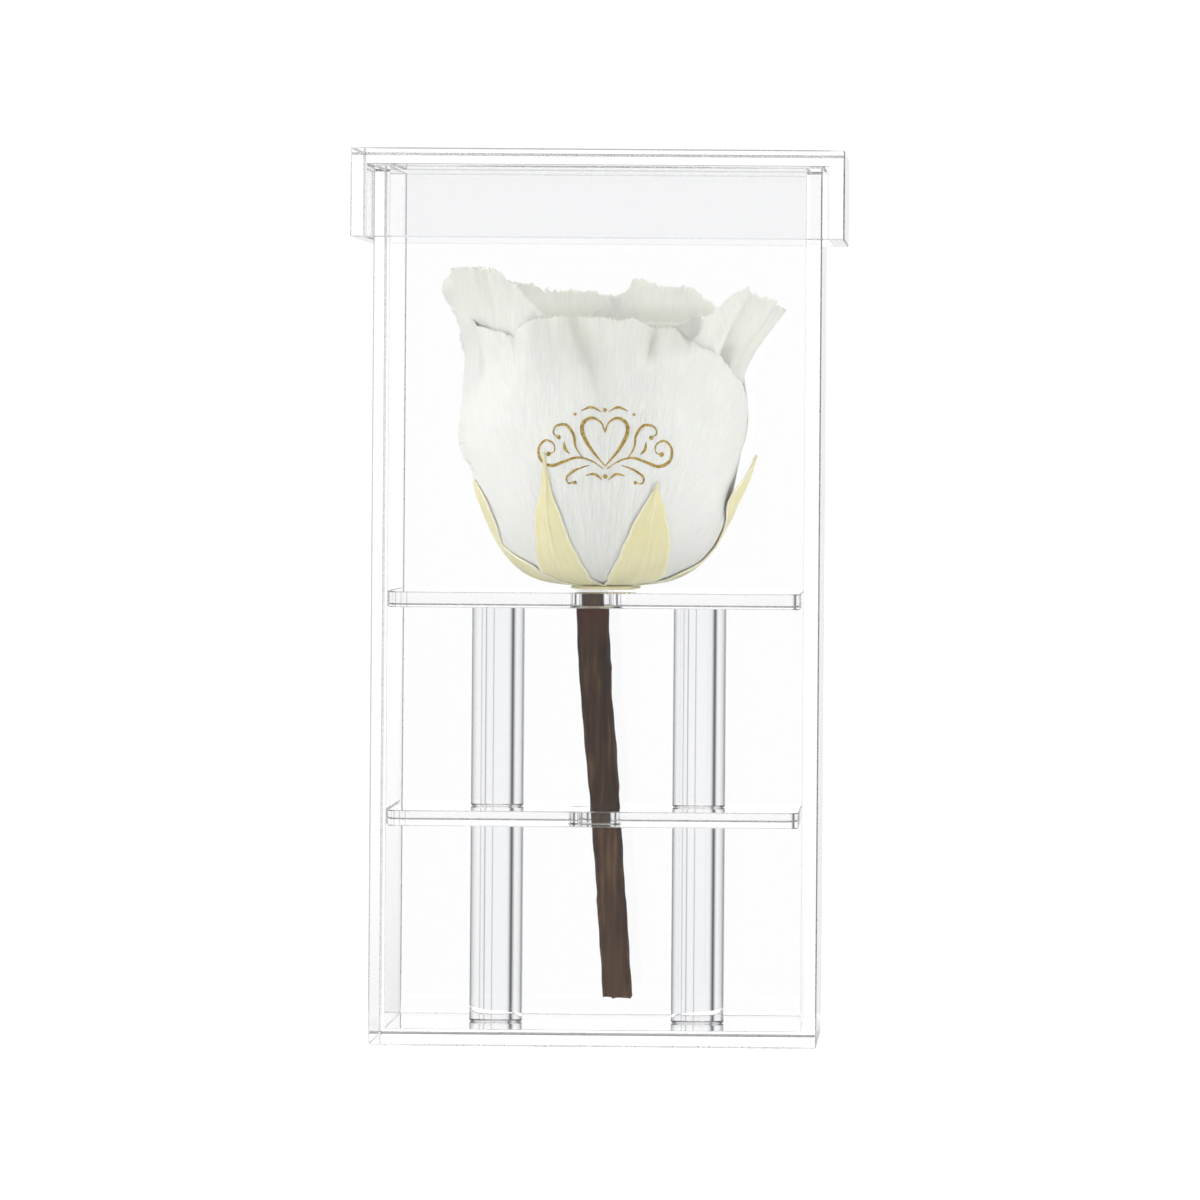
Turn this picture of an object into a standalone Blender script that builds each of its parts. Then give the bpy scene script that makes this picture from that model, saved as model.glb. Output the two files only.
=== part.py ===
"""A white preserved rose standing in a tall clear box with a lift-off lid.

The box is made of glued sheets. Inside it stand two loose shelves on round rods. The rose's stem
passes down through a hole in each shelf and its calyx rests on the upper one.
Metres, +Z up. The origin is the middle of the box's underside and the front faces -Y.
"""

import math

import bmesh
import bpy
import numpy as np

MM = 0.001

# Box and lid
GAP = 0.3 * MM  # between pieces that touch on the real object
SHEET = 3.5 * MM
TOTAL_TALL = 200 * MM
BOX_WIDE = 100 * MM
LID_WIDE = 110 * MM
LID_TALL = 20 * MM

# Shelves and rods, which stand a little to the left of the middle
INSERT_X = -0.3 * MM
SHELF_WIDE = 91.8 * MM
SHELF_CORNER = 3.5 * MM
HOLE_X = -0.6 * MM
HOLE_RADIUS = 5.8 * MM
ROD_LONG = 45.3 * MM
ROD_RADIUS = 6 * MM
ROD_X = 22.8 * MM
ROD_SIDES = 32
SHELF_LOW = SHEET + ROD_LONG
SHELF_HIGH = SHELF_LOW + SHEET + ROD_LONG
SHELF_TOP = SHELF_HIGH + SHEET

# Stem, from its cut end up to the calyx: across, height and radius
STEM_RUN = (
    (4.5 * MM, 9.4 * MM, 3.35 * MM),
    (3.9 * MM, 18 * MM, 3.3 * MM),
    (2.6 * MM, 36 * MM, 3.25 * MM),
    (1.5 * MM, 50.5 * MM, 3.3 * MM),
    (0.4 * MM, 64 * MM, 3.5 * MM),
    (-0.9 * MM, 78 * MM, 3.6 * MM),
    (-1.7 * MM, 92 * MM, 3.65 * MM),
    (-1.9 * MM, SHELF_TOP, 3.7 * MM),
)

# Calyx and bloom
CALYX_Z = SHELF_TOP + GAP
CALYX_THICK = 0.8 * MM
CALYX_DISC = 8 * MM
SEPAL_OFF = 1.15 * MM  # from the middle of the outer petals to the middle of a sepal
BLOOM_Z = CALYX_Z + CALYX_THICK / 2 + SEPAL_OFF
BLOOM_TALL = 71 * MM
BLOOM_FOOT_X = 1.1 * MM
BLOOM_HEAD_X = 0.2 * MM
PETAL_THICK = 0.7 * MM

# Outer petals' side view, from the foot up to the highest rim: radius and height over the foot
BOWL = (
    (2.0, 0.0),
    (9.5, 0.3),
    (16.8, 2.2),
    (22.2, 7.0),
    (26.0, 13.8),
    (29.1, 21.0),
    (31.3, 28.0),
    (32.7, 35.0),
    (32.6, 43.0),
    (32.3, 50.0),
    (32.8, 57.0),
    (34.0, 63.0),
    (36.0, 71.0),
)

# Core that the petals stand out of: radius and height over the bloom's foot
CORE = (
    (8.0, -0.5),
    (10.0, 2.0),
    (11.6, 6.0),
    (12.0, 12.0),
    (10.8, 22.0),
    (7.5, 30.0),
    (4.2, 38.0),
    (2.6, 44.0),
    (1.6, 47.0),
)

# Outer petals, named for where they stand. Azimuth runs from the front towards +X, in degrees.
# Half is half its width, degrees, which the taper narrows towards the rim. Reach scales the side
# view's radius. Lap is how far the side with the lower azimuth stands out over its neighbour, mm.
# A rim is the height over the bloom's foot at places across the petal, from -1 to 1. Flare is how
# far the rim leans out, mm, from a height up, round an azimuth and within an angle.
OUTER_PETALS = {
    "front": {
        "azimuth": -12,
        "half": 94,
        "reach": 1.0,
        "lap": 0.0,
        "taper": 0.0,
        "rim": (
            (-1.0, 54.0),
            (-0.93, 63.0),
            (-0.87, 67.5),
            (-0.787, 69.8),
            (-0.474, 71.0),
            (-0.367, 69.5),
            (-0.269, 66.0),
            (-0.162, 60.0),
            (0.106, 59.4),
            (0.285, 59.2),
            (0.428, 57.0),
            (0.598, 53.5),
            (0.768, 48.5),
            (0.93, 43.5),
            (1.0, 37.0),
        ),
        "flare": (0.8, 58, -86, 30),
        "grid": (22, 11),
    },
    "right": {
        "azimuth": 88,
        "half": 54,
        "reach": 0.955,
        "lap": 0.0,
        "taper": 0.0,
        "rim": (
            (-1.0, 52.0),
            (-0.926, 59.0),
            (-0.74, 60.5),
            (-0.65, 63.0),
            (-0.556, 66.4),
            (-0.35, 64.2),
            (0.0, 62.0),
            (0.4, 62.0),
            (0.75, 59.0),
            (1.0, 50.0),
        ),
        "flare": (9.7, 44, 90, 30),
        "grid": (13, 9),
    },
    "back_right": {
        "azimuth": 153,
        "half": 46,
        "reach": 0.972,
        "lap": 0.75,
        "taper": 0.3,
        "rim": (
            (-1.0, 50.0),
            (-0.8, 58.0),
            (-0.35, 65.5),
            (0.3, 67.5),
            (0.45, 69.5),
            (0.6, 66.0),
            (0.85, 59.0),
            (1.0, 51.0),
        ),
        "flare": (1.5, 56, 140, 40),
        "grid": (11, 8),
    },
    "back_left": {
        "azimuth": -160,
        "half": 48,
        "reach": 0.972,
        "lap": 0.75,
        "taper": 0.3,
        "rim": (
            (-1.0, 51.0),
            (-0.8, 60.0),
            (-0.4, 66.0),
            (0.1, 65.5),
            (0.4, 67.5),
            (0.8, 61.0),
            (1.0, 52.0),
        ),
        "flare": (1.5, 56, -150, 40),
        "grid": (10, 8),
    },
    "left": {
        "azimuth": -112,
        "half": 48,
        "reach": 0.972,
        "lap": 0.75,
        "taper": 0.3,
        "rim": (
            (-1.0, 48.0),
            (-0.8, 57.0),
            (-0.3, 65.0),
            (0.3, 64.0),
            (0.8, 57.0),
            (1.0, 48.0),
        ),
        "flare": (3.0, 52, -125, 30),
        "grid": (10, 8),
    },
}
OUTER_CLAW = 0.62  # width at the root, as a share of the full width

# Inner petals follow each other by the golden angle, from the widest to the bud in the middle
INNER_COUNT = 19
GOLDEN = 137.5
INNER_FIRST = 30
INNER_REACH = (0.85, 0.13)
INNER_HALF = (54, 88)
INNER_FRONT_TOP = (56.0, 50.0)
INNER_BACK_TOP = (64.5, 52.0)
INNER_HIDDEN = (0.02, 0.50)  # share of the length inside the core
INNER_LAP = 1.0
INNER_LEAN = (2.4, -1.7)
INNER_CLAW = 0.42
RING_LIFT = 6.0  # how much higher the innermost petals root, mm
WAVE = 1.0  # height of the waves at a rim, mm
SEED = 11

# Sepals: azimuth, length along the petals, half width, where the width starts and stops falling
# as shares of the length, how far the tip stands off, and how far the bend near the root does
SEPALS = (
    (-25, 47.5, 5.0, 0.38, 0.73, 0.4, 0.2),
    (24.5, 40.0, 5.7, 0.46, 1.02, 0.4, 0.2),
    (-97, 40.0, 5.4, 0.42, 1.00, 0.2, 0.0),
    (93, 47.5, 5.4, 0.42, 1.00, 1.9, 1.6),
    (178, 43.0, 5.6, 0.42, 1.00, 0.8, 0.4),
)
SEPAL_GRID = (4, 9)

WHITE = (0.90, 0.90, 0.86)
CREAM = (0.84, 0.77, 0.50)
BROWN = (0.075, 0.045, 0.03)
CLEAR = (0.93, 0.95, 0.98)


def clear_scene():
    for old in list(bpy.data.objects):
        bpy.data.objects.remove(old, do_unlink=True)


def new_collection(name):
    made = bpy.data.collections.new(name)
    bpy.context.scene.collection.children.link(made)
    return made


def material(name, colour, roughness, alpha=1.0):
    made = bpy.data.materials.new(name)
    made.use_nodes = True
    shader = made.node_tree.nodes["Principled BSDF"]
    shader.inputs["Base Color"].default_value = (*colour, 1)
    shader.inputs["Roughness"].default_value = roughness
    shader.inputs["Metallic"].default_value = 0
    shader.inputs["Alpha"].default_value = alpha
    return made


def acrylic(name):
    return material(name, CLEAR, 0.03, 0.3)


def keep(bm, name, collection, look=None):
    mesh = bpy.data.meshes.new(name)
    bm.to_mesh(mesh)
    bm.free()
    made = bpy.data.objects.new(name, mesh)
    collection.objects.link(made)
    if look:
        mesh.materials.append(look)
    return made


def slab(name, low, high, collection):
    """A flat sheet between two corners."""
    bm = bmesh.new()
    bmesh.ops.create_cube(bm, size=1)
    low, high = np.array(low), np.array(high)
    for corner in bm.verts:
        corner.co = low + (np.array(corner.co) + 0.5) * (high - low)
    return keep(bm, name, collection, acrylic(name))


def box(collection):
    """Floor plate with four walls standing on it, the side walls between front and back."""
    half = BOX_WIDE / 2
    inner = half - SHEET
    low, high = SHEET + GAP, TOTAL_TALL - SHEET - GAP
    side = inner - GAP
    slab("box_floor", (-half, -half, 0), (half, half, SHEET), collection)
    slab("box_front", (-half, -half, low), (half, -inner, high), collection)
    slab("box_back", (-half, inner, low), (half, half, high), collection)
    slab("box_left", (-half, -side, low), (-inner, side, high), collection)
    slab("box_right", (inner, -side, low), (half, side, high), collection)


def lid(collection):
    """Top plate with a low skirt that hangs round the outside of the box."""
    half = LID_WIDE / 2
    inner = half - SHEET
    low, high = TOTAL_TALL - LID_TALL, TOTAL_TALL - SHEET - GAP
    side = inner - GAP
    slab("lid_top", (-half, -half, TOTAL_TALL - SHEET), (half, half, TOTAL_TALL), collection)
    slab("lid_front", (-half, -half, low), (half, -inner, high), collection)
    slab("lid_back", (-half, inner, low), (half, half, high), collection)
    slab("lid_left", (-half, -side, low), (-inner, side, high), collection)
    slab("lid_right", (inner, -side, low), (half, side, high), collection)


def cylinder(bm, x, low, high, radius, sides):
    made = bmesh.ops.create_cone(
        bm, cap_ends=True, segments=sides, radius1=radius, radius2=radius, depth=high - low
    )
    for corner in made["verts"]:
        corner.co.x += x
        corner.co.z += (low + high) / 2


def shelf(name, low, collection, cutters):
    """Square plate with rounded corners and a round hole for the stem."""
    half = SHELF_WIDE / 2
    plate = slab(
        name, (INSERT_X - half, -half, low), (INSERT_X + half, half, low + SHEET), collection
    )
    bm = bmesh.new()
    bm.from_mesh(plate.data)
    upright = [e for e in bm.edges if abs(e.verts[0].co.z - e.verts[1].co.z) > SHEET / 2]
    bmesh.ops.bevel(bm, geom=upright, offset=SHELF_CORNER, segments=4, profile=0.5, affect="EDGES")
    bm.to_mesh(plate.data)
    bm.free()

    bm = bmesh.new()
    cylinder(bm, HOLE_X, low - SHEET, low + 2 * SHEET, HOLE_RADIUS, ROD_SIDES)
    drill = keep(bm, name + "_drill", cutters)
    drill.hide_render = True
    drill.display_type = "WIRE"
    cut = plate.modifiers.new("stem_hole", "BOOLEAN")
    cut.operation = "DIFFERENCE"
    cut.object = drill


def rods(collection):
    """Round spacers glued under each shelf, one each side of the stem."""
    for level, foot in (("lower", SHEET), ("upper", SHELF_LOW + SHEET)):
        for side, x in (("left", INSERT_X - ROD_X), ("right", INSERT_X + ROD_X)):
            bm = bmesh.new()
            cylinder(bm, x, foot + GAP, foot + ROD_LONG - GAP, ROD_RADIUS, ROD_SIDES)
            name = f"rod_{level}_{side}"
            rod = keep(bm, name, collection, acrylic(name))
            rod.data.shade_smooth()
            rod.data.set_sharp_from_angle(angle=math.radians(30))


def stem(collection):
    """Leaning woody stem, cut square at the foot."""
    curve = bpy.data.curves.new("rose_stem", "CURVE")
    curve.dimensions = "3D"
    curve.bevel_depth = 1
    curve.bevel_resolution = 5
    curve.use_fill_caps = True
    spline = curve.splines.new("POLY")
    spline.points.add(len(STEM_RUN) - 1)
    for point, (x, z, radius) in zip(spline.points, STEM_RUN):
        point.co = (x, 0, z, 1)
        point.radius = radius
    curve.materials.append(material("rose_stem", BROWN, 0.6))
    collection.objects.link(bpy.data.objects.new("rose_stem", curve))


def smooth(low, high, x):
    """0 below low, 1 above high, and an even rise between."""
    share = np.clip((x - low) / (high - low), 0, 1)
    return share * share * (3 - 2 * share)


def spline_through(points, steps=12):
    """Many points along a smooth curve through a few, as an array."""
    p = np.array(points, float)
    p = np.vstack([2 * p[0] - p[1], p, 2 * p[-1] - p[-2]])
    out = []
    for a, b, c, d in zip(p, p[1:], p[2:], p[3:]):
        for share in np.arange(steps) / steps:
            out.append(
                0.5
                * (
                    2 * b
                    + (c - a) * share
                    + (2 * a - 5 * b + 4 * c - d) * share**2
                    + (3 * b - a - 3 * c + d) * share**3
                )
            )
    out.append(p[-2])
    return np.array(out)


BOWL_LINE = spline_through(BOWL)
BOWL_RUN = np.concatenate([[0], np.cumsum(np.hypot(*np.diff(BOWL_LINE, axis=0).T))])
BOWL_LONG = BOWL_RUN[-1]


def bowl(run):
    """Radius and height of the outer petals, this far along their side view, in mm."""
    return np.interp(run, BOWL_RUN, BOWL_LINE[:, 0]), np.interp(run, BOWL_RUN, BOWL_LINE[:, 1])


def run_at(height):
    """How far along the side view this height lies."""
    return float(np.interp(height, BOWL_LINE[:, 1], BOWL_RUN))


def place(radius, azimuth, height):
    """A point of the bloom, from mm and radians, round an axis that leans to the right."""
    z = height * MM
    lean = BLOOM_FOOT_X + (BLOOM_HEAD_X - BLOOM_FOOT_X) * min(z / BLOOM_TALL, 1)
    return (
        lean + radius * MM * math.sin(azimuth),
        -radius * MM * math.cos(azimuth),
        BLOOM_Z + z,
    )


def rim_curve(points):
    line = spline_through(points)
    return lambda u: float(np.interp(u, line[:, 0], line[:, 1]))


def petal_point(petal, u, t):
    """A point of a petal: u runs from -1 to 1 across it and t from 0 at its root to 1 at its rim."""
    lift = petal["lift"]
    run = run_at(petal["rim_line"](u) - lift) * (petal["start"] + (1 - petal["start"]) * t)
    radius, height = bowl(run)
    share = run / BOWL_LONG
    height += lift
    radius *= petal["reach"]
    radius -= petal["lap"] * u * smooth(0.05, 0.3, share)
    spread = petal["claw"] + (1 - petal["claw"]) * smooth(0.0, 0.5, share)
    spread -= petal["taper"] * smooth(0.6, 1.0, share)
    degrees = petal["azimuth"] + u * petal["half"] * spread
    lean, start, middle, within = petal["flare"]
    off = (degrees - middle + 180) % 360 - 180
    radius += lean * smooth(start, 67, height) * math.exp(-((off / within) ** 2))
    rise = smooth(petal["top"] - 16, petal["top"], height)
    radius += petal["wave"] * rise * math.sin(petal["waves"] * u + petal["phase"])
    return radius, math.radians(degrees), height


def front_folds(radius, azimuth, height):
    """The front petal's valley under its rim and the shallow hollow to the right of it."""
    degrees = math.degrees(azimuth)
    valley = -6.5 + 4.5 * (1 - smooth(36, 60, height))
    off = degrees - valley
    width = 9.0 if off < 0 else 6.0
    radius -= 1.8 * math.exp(-((off / width) ** 2)) * smooth(32, 52, height)
    hollow = math.exp(-(((degrees - 27) / 11) ** 2) - ((height - 53) / 5) ** 2)
    return radius - 1.6 * hollow


def petal_blade(name, petal, collection):
    """One petal as a waved sheet, split into triangles before it gets its thickness."""
    across, along = petal["grid"]
    bm = bmesh.new()
    bmesh.ops.create_grid(bm, x_segments=across, y_segments=along, size=1)
    for corner in bm.verts:
        u, t = corner.co.x, (corner.co.y + 1) / 2
        spot = petal_point(petal, u, t)
        if petal.get("folded"):
            spot = (front_folds(*spot), *spot[1:])
        corner.co = place(*spot)
    bmesh.ops.triangulate(bm, faces=bm.faces[:])
    blade = keep(bm, name, collection)
    wall = blade.modifiers.new("thickness", "SOLIDIFY")
    wall.thickness = PETAL_THICK
    wall.offset = 0
    return blade


def outer_petals(collection):
    rng = np.random.default_rng(SEED)
    for name, given in OUTER_PETALS.items():
        petal = {
            **given,
            "lift": 0.0,
            "start": 0.0,
            "claw": OUTER_CLAW,
            "wave": 0.0 if name == "front" else 0.5 * WAVE,
            "waves": rng.uniform(4, 6),
            "phase": rng.uniform(0, math.tau),
            "rim_line": rim_curve(given["rim"]),
            "top": max(height for _, height in given["rim"]),
            "folded": name == "front",
        }
        petal_blade("petal_" + name, petal, collection)


def between(ends, share):
    return ends[0] + (ends[1] - ends[0]) * share


def inner_petals(collection):
    rng = np.random.default_rng(SEED)
    for number in range(INNER_COUNT):
        inward = number / (INNER_COUNT - 1)
        azimuth = INNER_FIRST + GOLDEN * number + rng.uniform(-12, 12)
        reach = between(INNER_REACH, inward) + rng.uniform(-0.015, 0.015) * (1 - inward)
        front, back = between(INNER_FRONT_TOP, inward), between(INNER_BACK_TOP, inward)
        behind = 0.5 - 0.5 * math.cos(math.radians(azimuth))
        top = between((front, back), behind) + rng.uniform(-1.4, 1.4)
        drop = rng.uniform(6, 11)
        petal = {
            "azimuth": azimuth,
            "half": between(INNER_HALF, inward),
            "reach": reach,
            "lap": INNER_LAP,
            "lift": RING_LIFT * (1 - reach),
            "start": between(INNER_HIDDEN, inward),
            "claw": INNER_CLAW,
            "taper": 0.15,
            "flare": (between(INNER_LEAN, inward), top - 13, azimuth, 75),
            "wave": WAVE * reach,
            "waves": rng.uniform(4, 6),
            "phase": rng.uniform(0, math.tau),
            "rim_line": lambda u, top=top, drop=drop: top - drop * abs(u) ** 3,
            "top": top,
            "grid": (round(5 + 4 * reach), round(3 + 4 * reach)),
        }
        petal_blade(f"petal_{number}", petal, collection)


def turned(name, profile, collection):
    """A closed solid of revolution round the bloom's axis, from a profile in mm, foot first."""
    line = [(0.0, profile[0][1]), *profile, (0.0, profile[-1][1] + 0.6)]
    bm = bmesh.new()
    last = None
    for radius, height in line:
        corner = bm.verts.new((BLOOM_FOOT_X + radius * MM, 0, BLOOM_Z + height * MM))
        if last:
            bm.edges.new((last, corner))
        last = corner
    bmesh.ops.spin(
        bm,
        geom=bm.verts[:] + bm.edges[:],
        cent=(BLOOM_FOOT_X, 0, 0),
        axis=(0, 0, 1),
        angle=math.tau,
        steps=20,
        use_merge=True,
    )
    bmesh.ops.remove_doubles(bm, verts=bm.verts[:], dist=0.001 * MM)
    bmesh.ops.recalc_face_normals(bm, faces=bm.faces[:])
    return keep(bm, name, collection)


def fuse(base, pieces):
    """Join every object of a collection to the base in one body, then remove them."""
    join = base.modifiers.new("fused", "BOOLEAN")
    join.operation = "UNION"
    join.operand_type = "COLLECTION"
    join.collection = pieces
    join.solver = "EXACT"
    bpy.context.view_layer.objects.active = base
    bpy.ops.object.modifier_apply(modifier=join.name)
    for piece in list(pieces.objects):
        bpy.data.objects.remove(piece, do_unlink=True)
    bpy.data.collections.remove(pieces)
    base.data.shade_smooth()
    base.data.set_sharp_from_angle(angle=math.radians(50))


def bloom(collection):
    """Petals in their rings, fused to a small core."""
    blades = new_collection("petals")
    outer_petals(blades)
    inner_petals(blades)
    core = turned("rose_bloom", CORE, collection)
    fuse(core, blades)
    core.data.materials.clear()
    core.data.materials.append(material("rose_bloom", WHITE, 0.8))


def sepal_point(sepal, u, v):
    """A point of a sepal, which lies along the outside of the petals and ends in a fine tip."""
    azimuth, long, half, full, fine, off, bend = sepal
    run = 3.0 + (long - 3.0) * v
    radius, height = bowl(run)
    ahead_radius, ahead_height = bowl(run + 0.5)
    slope = math.atan2(ahead_height - height, ahead_radius - radius)
    stand = SEPAL_OFF / MM + off * smooth(0.6, 1.0, v) + 0.25 * u * u
    stand += bend * math.exp(-(((v - 0.34) / 0.14) ** 2))
    radius += stand * math.sin(slope)
    height = max(height - stand * math.cos(slope), -SEPAL_OFF / MM)
    wide = half * (0.42 + 0.58 * smooth(0.0, 0.38, v)) * (1 - smooth(full, fine, v)) + 0.4
    return radius, math.radians(azimuth) + u * wide / max(radius, wide), height


def calyx(collection):
    """Five sepals joined under the bloom by a thin disc."""
    across, along = SEPAL_GRID
    blades = new_collection("sepals")
    for number, sepal in enumerate(SEPALS):
        bm = bmesh.new()
        bmesh.ops.create_grid(bm, x_segments=across, y_segments=along, size=1)
        for corner in bm.verts:
            corner.co = place(*sepal_point(sepal, corner.co.x, (corner.co.y + 1) / 2))
        bmesh.ops.triangulate(bm, faces=bm.faces[:])
        blade = keep(bm, f"sepal_{number}", blades)
        wall = blade.modifiers.new("thickness", "SOLIDIFY")
        wall.thickness = CALYX_THICK
        wall.offset = 0
    bm = bmesh.new()
    cylinder(bm, BLOOM_FOOT_X, CALYX_Z, CALYX_Z + CALYX_THICK, CALYX_DISC, ROD_SIDES)
    disc = keep(bm, "rose_calyx", collection)
    fuse(disc, blades)
    disc.data.materials.clear()
    disc.data.materials.append(material("rose_calyx", CREAM, 0.8))


def build():
    clear_scene()
    parts = new_collection("preserved_rose_in_clear_box")
    cutters = new_collection("cutters")
    cutters.hide_render = True
    box(parts)
    lid(parts)
    shelf("shelf_lower", SHELF_LOW, parts, cutters)
    shelf("shelf_upper", SHELF_HIGH, parts, cutters)
    rods(parts)
    stem(parts)
    calyx(parts)
    bloom(parts)


build()
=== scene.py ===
"""A white preserved rose in a tall clear box with a lift-off lid, on a pale table.

The sections follow the object as it is put together: box, lid, shelves, rods, stem, calyx and
petals. The table, the light and the camera come last. Metres, +Z up, the front faces -Y.
"""

import math

import bmesh
import bpy
import numpy as np
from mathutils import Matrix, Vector


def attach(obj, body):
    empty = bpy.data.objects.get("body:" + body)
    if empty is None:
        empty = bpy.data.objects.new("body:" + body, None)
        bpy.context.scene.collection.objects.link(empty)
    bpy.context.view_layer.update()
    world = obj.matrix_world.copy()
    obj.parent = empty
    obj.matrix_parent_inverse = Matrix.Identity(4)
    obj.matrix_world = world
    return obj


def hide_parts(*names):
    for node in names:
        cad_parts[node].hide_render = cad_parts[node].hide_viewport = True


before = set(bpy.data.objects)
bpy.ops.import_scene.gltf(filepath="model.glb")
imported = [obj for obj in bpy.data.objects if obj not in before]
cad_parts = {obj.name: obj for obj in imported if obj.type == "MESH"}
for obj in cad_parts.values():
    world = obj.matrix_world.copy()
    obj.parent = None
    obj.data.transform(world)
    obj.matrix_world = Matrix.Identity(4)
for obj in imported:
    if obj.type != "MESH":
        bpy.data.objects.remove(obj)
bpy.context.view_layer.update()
MM = 0.001

# Box
# The box is five clear acrylic sheets. They are glued edge to edge with a solvent that leaves
# the corners clear, so it is made as one hollow block with its cut edges broken a little.

SHEET = 3.5 * MM
BOX_WIDE = 100 * MM
BOX_TALL = 196.2 * MM
EDGE = 0.32 * MM
INNER_EDGE = 0.4  # how wide an inner corner's chamfer is, as a share of an outer edge's
SHARP = math.radians(40)  # how far an edge turns, to get a chamfer
FACE_TILT = 0.9  # how straight along an axis a normal is, to count as facing that way
ACRYLIC = {"Transmission_Weight": 1.0, "IOR": 1.49, "Specular_IOR_Level": 0.5}
SHEET_TINT = (0.994, 0.995, 0.998)
FRONT = (-20 * MM, -45 * MM)  # where along the depth the painted shade on the outer edges begins, and is greyest


class Paint:
    """A socket of a material's nodes. Sums on it add Math nodes, and node adds any other."""

    def __init__(self, tree, socket=None):
        self.tree, self.socket = tree, socket

    def node(self, kind, settings=None, sockets=None, out=0):
        made = self.tree.nodes.new("ShaderNode" + kind)
        for name, value in (settings or {}).items():
            if name == "stops":
                ramp = made.color_ramp
                ramp.elements.remove(ramp.elements[1])
                ramp.elements[0].position = value[0][0]
                ramp.elements[0].color = (*value[0][1], 1)
                for place, colour in value[1:]:
                    ramp.elements.new(place).color = (*colour, 1)
            else:
                setattr(made, name, value)
        for key, value in (sockets or {}).items():
            if isinstance(value, Paint):
                self.tree.links.new(value.socket, made.inputs[key])
            else:
                made.inputs[key].default_value = value
        return Paint(self.tree, made.outputs[out])

    def maths(self, operation, a, b=0.0):
        return self.node("Math", {"operation": operation}, {0: a, 1: b})

    def __add__(self, other):
        return self.maths("ADD", self, other)

    __radd__ = __add__

    def __sub__(self, other):
        return self.maths("SUBTRACT", self, other)

    def __rsub__(self, other):
        return self.maths("SUBTRACT", other, self)

    def __mul__(self, other):
        return self.maths("MULTIPLY", self, other)

    __rmul__ = __mul__

    def __truediv__(self, other):
        return self.maths("DIVIDE", self, other)

    def __pow__(self, other):
        return self.maths("POWER", self, other)

    def mix(self, low, high):
        """A colour between two, by this share."""
        return self.node("Mix", {"data_type": "RGBA"}, {0: self, 6: low, 7: high}, out=2)

    def axes(self):
        """The three numbers of a vector."""
        return [self.node("SeparateXYZ", None, {0: self}, out=axis) for axis in range(3)]

    def noise(self, scale, detail, **more):
        """Noise on a place."""
        more = {"Vector": self, "Scale": scale, "Detail": detail, **more}
        return self.node("TexNoise", None, more)

    def share(self, low, high):
        """0 at low and 1 at high."""
        return self.node("MapRange", None, {0: self, 1: low, 2: high})

    def ramp(self, *stops):
        """A colour by this share, from stops of a share and a colour each."""
        return self.node("ValToRGB", {"stops": stops}, {0: self})

    def bump(self, distance):
        return self.node("Bump", None, {"Height": self, "Distance": distance})

    def past(self, kind, depth):
        """1 for a ray that has been through more of these than this."""
        return self.maths("GREATER_THAN", self.node("LightPath", out=kind + " Depth"), depth)


def new_finish(name, **plain):
    """A material, its Principled shader with these plain settings, and the place painted."""
    made = bpy.data.materials.new(name)
    made.use_nodes = True
    shader = made.node_tree.nodes["Principled BSDF"]
    for socket, value in plain.items():
        shader.inputs[socket.replace("_", " ")].default_value = value
    return made, shader, Paint(made.node_tree).node("TexCoord", out="Object")


def feed(shader, socket, paint):
    paint.tree.links.new(paint.socket, shader.inputs[socket])


def clear_acrylic(name, tint):
    """Clear cast acrylic: no colour to speak of, and a polish with a few faint smears."""
    made, shader, place = new_finish(name, **ACRYLIC)
    smears, patches = place.noise(55.0, 1.0), place.noise(14.0, 0.0)
    feed(shader, "Roughness", 0.004 + 0.02 * (smears * patches))
    feed(shader, "Base Color", patches.mix((*tint, 1), (0.997, 0.998, 1.0, 1)))
    return made


def matt_edge(name, half):
    """The broken edge of a sheet or rod, left matt.

    The outer edges at the front, which lie half its width out, get painted shade and so are greyer."""
    made, shader, place = new_finish(name, **ACRYLIC)
    scratches = place.noise(900.0, 3.0)
    across, deep, _ = place.axes()
    furthest = place.maths("MAXIMUM", place.maths("ABSOLUTE", across), -1.0 * deep)
    # Painted shade: the outer edges towards the front are painted a lavender grey.
    front_edge_shade = place.maths("GREATER_THAN", furthest, half - MM) * deep.share(*FRONT)
    clean = scratches.mix((0.95, 0.955, 0.965, 1), (0.995, 0.996, 0.998, 1))
    feed(shader, "Roughness", 0.15 + 0.3 * scratches)
    feed(shader, "Base Color", front_edge_shade.mix(clean, (0.79, 0.80, 0.85, 1)))
    return made


def select_pieces(*pieces):
    """Select only these, with the first one active."""
    bpy.ops.object.select_all(action="DESELECT")
    for piece in pieces:
        piece.select_set(True)
    bpy.context.view_layer.objects.active = pieces[0] if pieces else None


def set_primitive(name):
    """Name the primitive just added, with its place put in its mesh."""
    bpy.ops.object.transform_apply(location=True, rotation=True, scale=True)
    bpy.context.object.name = name
    return bpy.context.object


def new_block(name, low, high):
    select_pieces()
    low, high = Vector(low), Vector(high)
    bpy.ops.mesh.primitive_cube_add(size=1, location=(low + high) / 2, scale=high - low)
    return set_primitive(name)


def select_faces(piece, wanted):
    """Go into edit mode on a piece with only the wanted faces selected."""
    select_pieces(piece)
    bpy.ops.object.mode_set(mode="EDIT")
    bpy.ops.mesh.select_mode(type="FACE")
    bpy.ops.mesh.select_all(action="DESELECT")
    cage = bmesh.from_edit_mesh(piece.data)
    for face in cage.faces:
        face.select_set(wanted(face))
    bmesh.update_edit_mesh(piece.data)


def hollow_out(piece, side, wall, depth):
    """Sink a pocket into the top (side 1) or the underside (side -1) of a block."""
    select_faces(piece, lambda face: face.normal.z * side > FACE_TILT)
    bpy.ops.mesh.inset(thickness=wall)
    bpy.ops.mesh.extrude_region_move(TRANSFORM_OT_translate={"value": (0, 0, -side * depth)})
    bpy.ops.object.mode_set(mode="OBJECT")


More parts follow.
